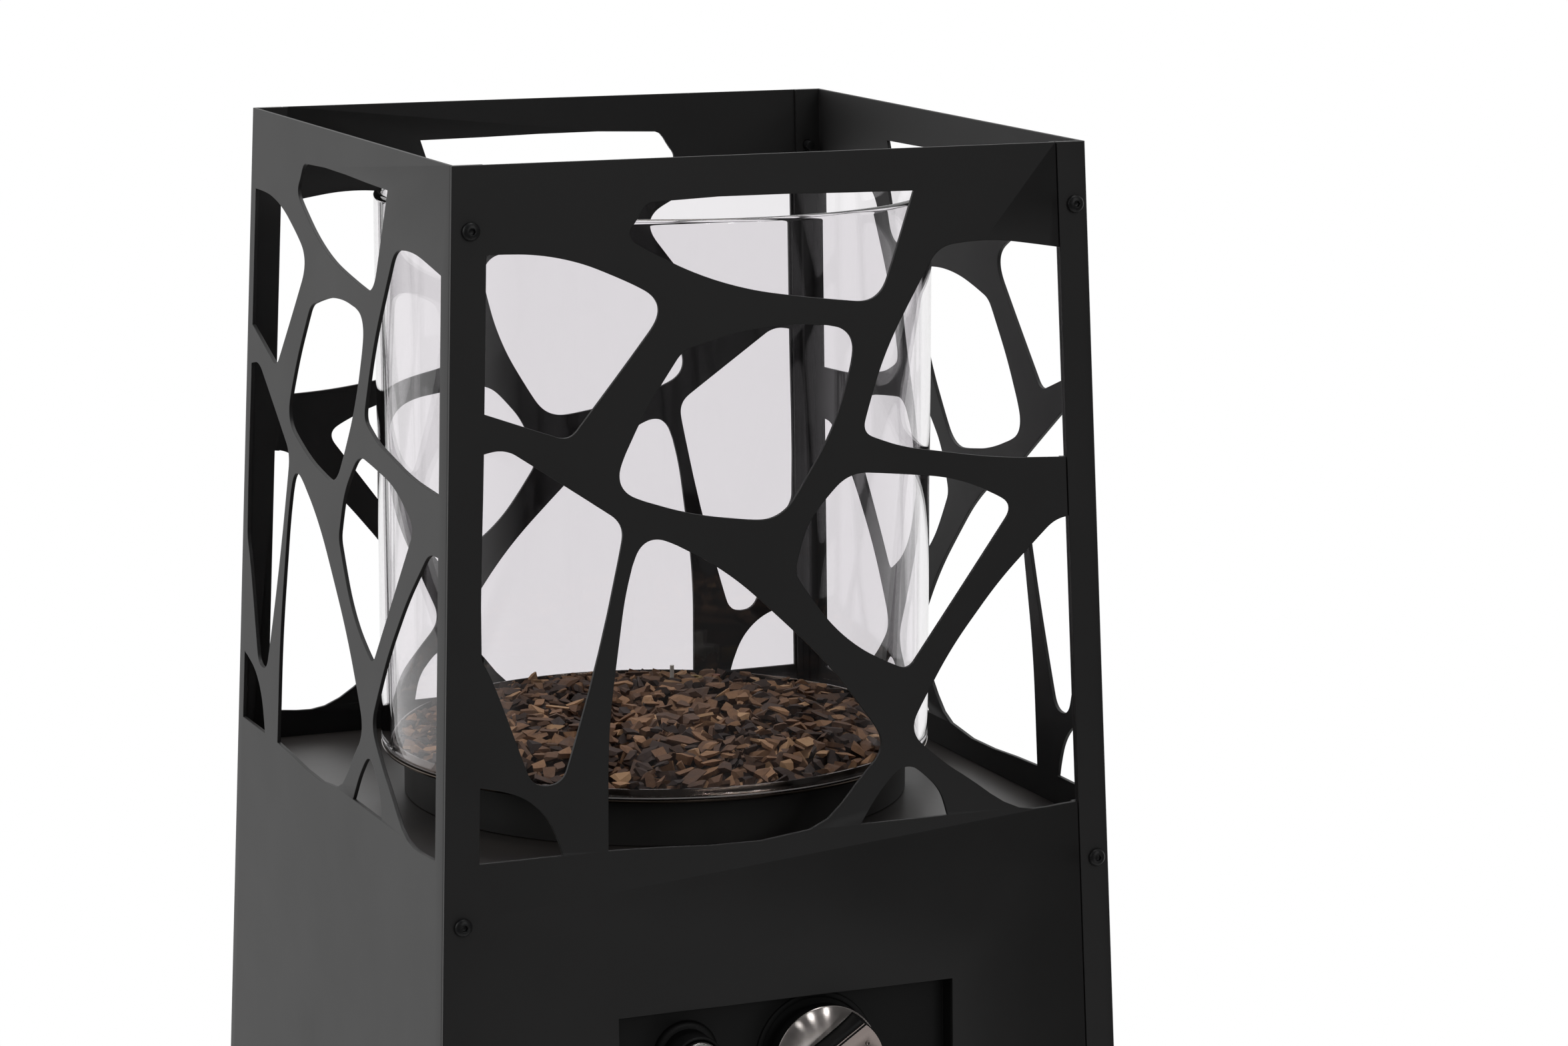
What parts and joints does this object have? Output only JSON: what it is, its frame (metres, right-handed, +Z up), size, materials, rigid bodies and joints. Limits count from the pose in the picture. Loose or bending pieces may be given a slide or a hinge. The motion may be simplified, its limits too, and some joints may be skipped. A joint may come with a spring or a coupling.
{
  "type": "pyramid patio heater",
  "caption": "Tapering square outdoor gas heater: burner under a glass tube inside a cut-out steel cage, recessed knob and igniter, bottle door at the back",
  "frame": {"origin": "on the floor, at the middle of the square footprint", "axes": "+Z up along the tapering body, -Y out of the front face with the knob, +X to the right of someone who faces that face"},
  "size_m": [0.429, 0.4328, 1.14],
  "materials": {
    "powder_coat": "matte anthracite powder coat",
    "deck_coat": "satin dark grey powder coat",
    "black_screw": "black oxide",
    "black_coat": "matte black heat-proof paint",
    "glass": "clear borosilicate glass",
    "steel": "satin stainless steel",
    "stone": "rough brown stone chips",
    "brass": "machined brass",
    "copper": "drawn copper tube",
    "ceramic": "white glazed ceramic",
    "silicone": "matte silicone sleeve",
    "chrome": "polished chrome",
    "satin_silver": "satin silver",
    "black_plastic": "satin black",
    "die_cast": "raw die casting",
    "rubber": "matte black rubber"
  },
  "bodies": {
    "heater": {"front_panel": "powder_coat", "back_panel": "powder_coat", "left_panel": "powder_coat", "right_panel": "powder_coat", "front_screw_1": "black_screw", "front_screw_2": "black_screw", "front_screw_3": "black_screw", "front_screw_4": "black_screw", "front_screw_5": "black_screw", "front_screw_6": "black_screw", "front_screw_7": "black_screw", "front_screw_8": "black_screw", "back_screw_1": "black_screw", "back_screw_2": "black_screw", "back_screw_3": "black_screw", "back_screw_4": "black_screw", "back_screw_5": "black_screw", "back_screw_6": "black_screw", "back_screw_7": "black_screw", "back_screw_8": "black_screw", "deck_plate": "deck_coat", "base_plate": "powder_coat", "bottle_ring": "powder_coat", "foot_1": "rubber", "foot_2": "rubber", "foot_3": "rubber", "foot_4": "rubber", "burner_collar": "black_coat", "burner_tray": "steel", "glass_tube": "glass", "burner": "steel", "gas_injector": "brass", "stone_bed": "stone", "pilot_burner": "brass", "thermocouple": "copper", "ignition_electrode": "ceramic", "ignition_lead": "silicone", "control_box": "powder_coat", "knob_bezel": "black_plastic", "valve_body": "die_cast", "hose_inlet": "brass", "igniter_body": "black_plastic", "igniter_nut": "black_plastic", "gas_pipe": "copper", "pilot_pipe": "copper", "tilt_switch": "black_plastic", "tilt_lead": "silicone", "door_pin_upper": "steel", "door_pin_lower": "steel", "hinge_bracket_upper": "powder_coat", "hinge_bracket_lower": "powder_coat"},
    "gas_plug": {"valve_plug": "brass"},
    "gas_knob": {"knob": "chrome", "knob_grip": "black_plastic", "knob_inlay": "satin_silver", "valve_spindle": "steel"},
    "igniter_push": {"igniter_button": "chrome"},
    "bottle_door": {"door": "powder_coat"},
    "door_latch": {"latch_knob": "black_plastic", "latch_cam": "steel"}
  },
  "joints": [
    {"name": "knob_turn", "type": "hinge", "parent": "heater", "child": "gas_plug", "pos_m": [0.0197, -0.19179, 0.6629], "axis": [0, -0.9994, 0.0352], "range_deg": [0, 210]},
    {"name": "knob_press", "type": "slide", "parent": "gas_plug", "child": "gas_knob", "axis": [0, 0.9994, -0.0352], "range_m": [0, 0.005], "stiffness_N_per_m": 1200, "springref_m": -0.004},
    {"name": "igniter_press", "type": "slide", "parent": "heater", "child": "igniter_push", "axis": [0, 0.9994, -0.0352], "range_m": [0, 0.006], "stiffness_N_per_m": 900, "springref_m": -0.004},
    {"name": "door_swing", "type": "hinge", "parent": "heater", "child": "bottle_door", "pos_m": [0.137, 0.19657, 0.29972], "axis": [0, 0.0352, -0.9994], "range_deg": [0, 95]},
    {"name": "latch_turn", "type": "hinge", "parent": "bottle_door", "child": "door_latch", "pos_m": [-0.129, 0.20457, 0.3], "axis": [0, -0.9994, -0.0352], "range_deg": [0, 90]}
  ]
}
